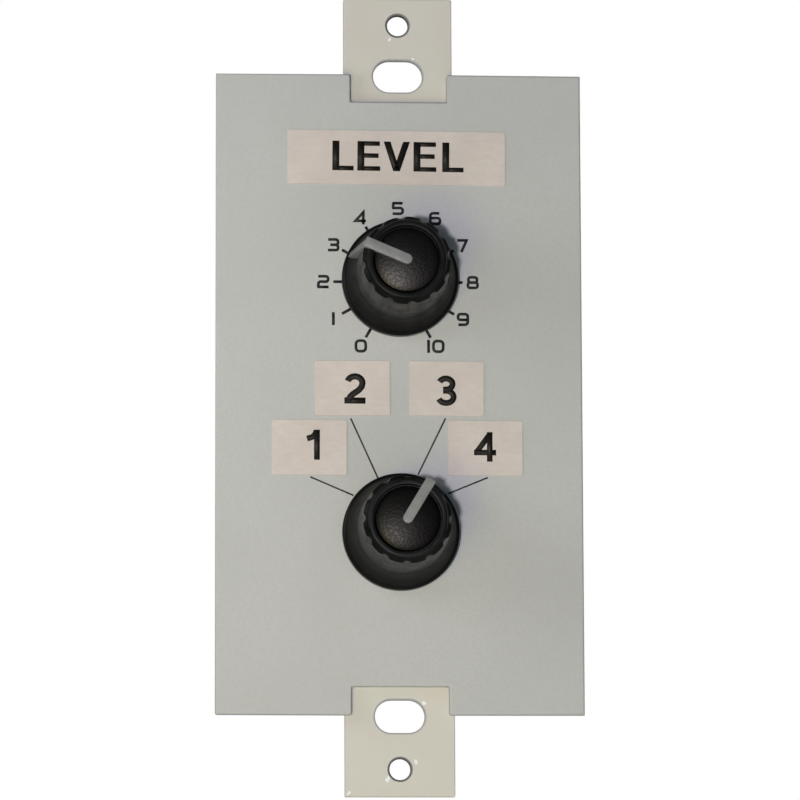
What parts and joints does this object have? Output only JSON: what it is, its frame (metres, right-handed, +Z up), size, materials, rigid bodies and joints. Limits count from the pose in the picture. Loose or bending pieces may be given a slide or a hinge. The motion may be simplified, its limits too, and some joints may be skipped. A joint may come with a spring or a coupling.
{
  "type": "wall volume and source control",
  "caption": "Single-gang wall audio control: a grey panel on a cream mounting strap, with a level knob over a numbered dial, a source selector knob and screw terminals behind.",
  "frame": {"origin": "centre of the mounting strap's rear face, midway between the wall box slots", "axes": "+Z up along the strap, +X to the right as the user sees it, -Y out of the wall towards the user"},
  "size_m": [0.0472, 0.0415, 0.1038],
  "materials": {
    "panel_paint": "fine satin grey-green paint, slightly warm, with printed legends",
    "strap_paint": "satin cream paint, worn bare at the edges of the holes",
    "label_tape": "matt beige label tape",
    "knob_plastic": "black moulded plastic, satin",
    "cap_plastic": "black moulded plastic, spark-eroded grain",
    "pointer_plastic": "light grey moulded plastic",
    "plated_steel": "zinc plated, bright",
    "zinc_casting": "die-cast zinc, dull",
    "tinned_brass": "bright, tinned at the tails",
    "resistance_ink": "carbon ink, matt",
    "phenolic": "brown paper laminate",
    "nylon": "natural nylon",
    "switch_plastic": "black moulded plastic",
    "board_laminate": "green solder mask over glass laminate",
    "block_plastic": "green moulded nylon"
  },
  "bodies": {
    "base": {"front_panel": "panel_paint", "mounting_strap": "strap_paint", "level_label": "label_tape", "source_label_1": "label_tape", "source_label_2": "label_tape", "source_label_3": "label_tape", "source_label_4": "label_tape", "level_bushing": "zinc_casting", "level_wafer": "phenolic", "level_track": "resistance_ink", "level_pins": "tinned_brass", "level_can": "plated_steel", "source_bushing": "zinc_casting", "source_detent_ring": "zinc_casting", "source_wafer": "phenolic", "source_contacts": "tinned_brass", "source_housing": "switch_plastic", "source_rear_cover": "switch_plastic", "source_rivets": "plated_steel", "circuit_board": "board_laminate", "level_nut": "plated_steel", "level_washer": "plated_steel", "level_terminal_block": "block_plastic", "level_terminal_screws": "plated_steel", "level_terminal_clamps": "plated_steel", "level_terminal_pins": "tinned_brass", "source_nut": "plated_steel", "source_washer": "plated_steel", "source_terminal_block": "block_plastic", "source_terminal_screws": "plated_steel", "source_terminal_clamps": "plated_steel", "source_terminal_pins": "tinned_brass"},
    "level_control": {"level_knob": "knob_plastic", "level_knob_cap": "cap_plastic", "level_knob_pointer": "pointer_plastic", "level_shaft": "plated_steel", "level_carrier": "nylon", "level_wiper": "tinned_brass"},
    "source_control": {"source_knob": "knob_plastic", "source_knob_cap": "cap_plastic", "source_knob_pointer": "pointer_plastic", "source_shaft": "plated_steel", "source_detent_hub": "nylon", "source_detent_balls": "plated_steel", "source_detent_spring": "plated_steel", "source_carrier": "nylon", "source_wiper": "tinned_brass"}
  },
  "joints": [
    {"name": "level_turn", "type": "hinge", "parent": "base", "child": "level_control", "pos_m": [0, 0, 0.0144], "axis": [0, 1, 0], "range_deg": [-83, 217]},
    {"name": "source_turn", "type": "hinge", "parent": "base", "child": "source_control", "pos_m": [0, 0, -0.0184], "axis": [0, 1, 0], "range_deg": [-72, 36]}
  ]
}
